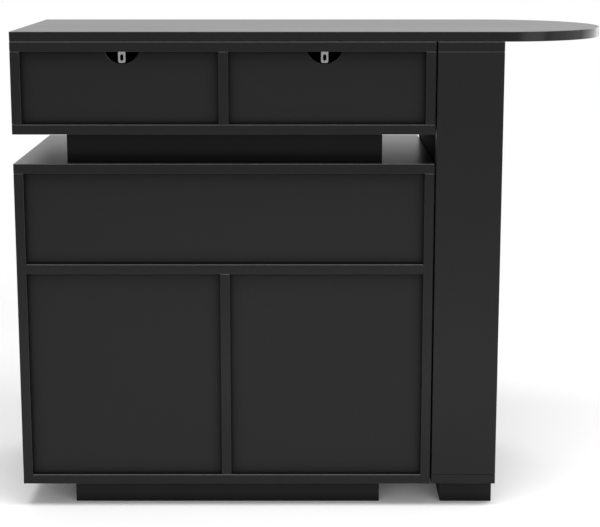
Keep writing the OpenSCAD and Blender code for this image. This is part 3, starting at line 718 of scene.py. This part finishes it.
def makeSoftEdges():
    tree = bpy.data.node_groups.new("softEdges", "GeometryNodeTree")
    tree.interface.new_socket(name="Mesh", in_out="INPUT", socket_type="NodeSocketGeometry")
    tree.interface.new_socket(name="Mesh", in_out="OUTPUT", socket_type="NodeSocketGeometry")
    start = tree.nodes.new("NodeGroupInput")
    end = tree.nodes.new("NodeGroupOutput")
    merged = addNode(tree, "GeometryNodeMergeByDistance", {"Geometry": start.outputs[0],
                                                           "Distance": softening["merge"]})
    plain = addNode(tree, "GeometryNodeRemoveAttribute", {"Geometry": merged.outputs[0],
                                                          "Name": "custom_normal"})
    smooth = addNode(tree, "GeometryNodeSetShadeSmooth", {"Geometry": plain.outputs[0]}, domain="FACE")
    bend = addNode(tree, "GeometryNodeInputMeshEdgeAngle").outputs["Unsigned Angle"]
    sharp = addNode(tree, "FunctionNodeCompare", {0: bend, 1: math.radians(softening["sharpFrom"])},
                    operation="GREATER_THAN")
    edges = addNode(tree, "GeometryNodeSetShadeSmooth", {"Geometry": smooth.outputs[0],
                                                         "Selection": sharp.outputs[0],
                                                         "Shade Smooth": False}, domain="EDGE")
    tree.links.new(edges.outputs[0], end.inputs[0])
    return tree


softEdges = makeSoftEdges()


def softenBoards():
    for part in frame["record"]["subparts"]:
        if part["material_slot"] in softening["slots"]:
            piece = frame["nodes"][part["node"]]
            piece.modifiers.new("softEdges", "NODES").node_group = softEdges
            weigh = piece.modifiers.new("faceNormals", "WEIGHTED_NORMAL")
            weigh.weight = softening["faceWeight"]
            weigh.keep_sharp = True


softenBoards()
print("eased edges softened")


# Room: pale floor that fades into a white background, and six lamps
studio = {
    "ambient": 0.42,
    "floorLevel": 250,
    "floorReach": (1.1, 2.6),  # metres from the middle to where it starts to fade, and to where it ends
    "floorHalf": 9,
    "floorDrop": 0.0002,  # so that the floor and the pieces that stand on it don't flicker
    "floorRoughness": 0.9,
    "lamps": {
        "topLight": {"place": (0, -1.0, 3.2), "aim": (0, -0.8, 0), "size": (3.2, 1.3), "power": 75},
        "sideLight": {"place": (2.6, -2.9, 0.9), "aim": (0.6, 0, 0.7), "size": (1.6, 1.6), "power": 19},
        "lowLight": {"place": (-0.1, -1.45, 0.2), "aim": (-0.1, 0, 0.25), "size": (2.6, 0.4), "power": 21},
        # these two stand on the right, for the round end
        "rimLight": {"place": (3.3, 2.2, 1.2), "aim": (0.67, 0, 1.08), "size": (3.3, 2.0), "power": 36},
        "endLight": {"place": (3.6, -0.75, 0.95), "aim": (0.6, 0, 1.0), "size": (2.5, 1.0), "power": 11},
        # a wide one behind, which the tops reflect
        "farLight": {"place": (1.0, 2.6, 3.0), "aim": (1.5, 0, 0.6), "size": (6.0, 1.8), "power": 67},
    },
    "unseen": "lowLight",  # a fill close to the floor that leaves no streak on the gloss
}


def makeWorld():  # full white where it is seen, and weaker where it only gives light
    world = bpy.data.worlds.new("studio")
    bpy.context.scene.world = world
    world.use_nodes = True
    tree = world.node_tree
    path = addNode(tree, "ShaderNodeLightPath").outputs
    seen = combine(tree, "MAXIMUM", path["Is Camera Ray"], path["Is Glossy Ray"])
    seen = combine(tree, "MAXIMUM", seen, path["Is Transmission Ray"])
    background = tree.nodes["Background"]
    background.inputs["Color"].default_value = (1, 1, 1, 1)
    strength = rangeOf(tree, seen, whole, (studio["ambient"], 1.0))
    tree.links.new(strength, background.inputs["Strength"])


def makeFloor():
    build = bmesh.new()
    bmesh.ops.create_grid(build, x_segments=1, y_segments=1, size=studio["floorHalf"])
    mesh = bpy.data.meshes.new("floor")
    build.to_mesh(mesh)
    build.free()
    floor = bpy.data.objects.new("floor", mesh)
    bpy.context.scene.collection.objects.link(floor)
    floor.location.z = -studio["floorDrop"]
    material, tree, shader, place = startMaterial("paleFloor")
    shader.inputs["Base Color"].default_value = greyColour(studio["floorLevel"])
    shader.inputs["Roughness"].default_value = studio["floorRoughness"]
    shader.inputs["Specular IOR Level"].default_value = 0.0
    away = addNode(tree, "ShaderNodeVectorMath", {0: place["Object"]}, operation="LENGTH").outputs["Value"]
    near, far = studio["floorReach"]
    fade = addNode(tree, "ShaderNodeMapRange", {0: away, 1: near, 2: far, 3: 1.0, 4: 0.0},
                   interpolation_type="SMOOTHSTEP")
    tree.links.new(fade.outputs[0], shader.inputs["Alpha"])
    mesh.materials.append(material)


def makeLamps():
    for name, lamp in studio["lamps"].items():
        data = bpy.data.lights.new(name, "AREA")
        data.shape = "RECTANGLE"
        data.size, data.size_y = lamp["size"]
        data.energy = lamp["power"]
        light = bpy.data.objects.new(name, data)
        light.location = lamp["place"]
        direction = Vector(lamp["aim"]) - Vector(lamp["place"])
        light.rotation_euler = direction.to_track_quat("-Z", "Y").to_euler()
        light.visible_camera = False
        light.visible_glossy = name != studio["unseen"]
        bpy.context.scene.collection.objects.link(light)


makeWorld()
makeFloor()
makeLamps()
print("floor and light ready")


scene = bpy.context.scene
scene.view_settings.view_transform = "Standard"
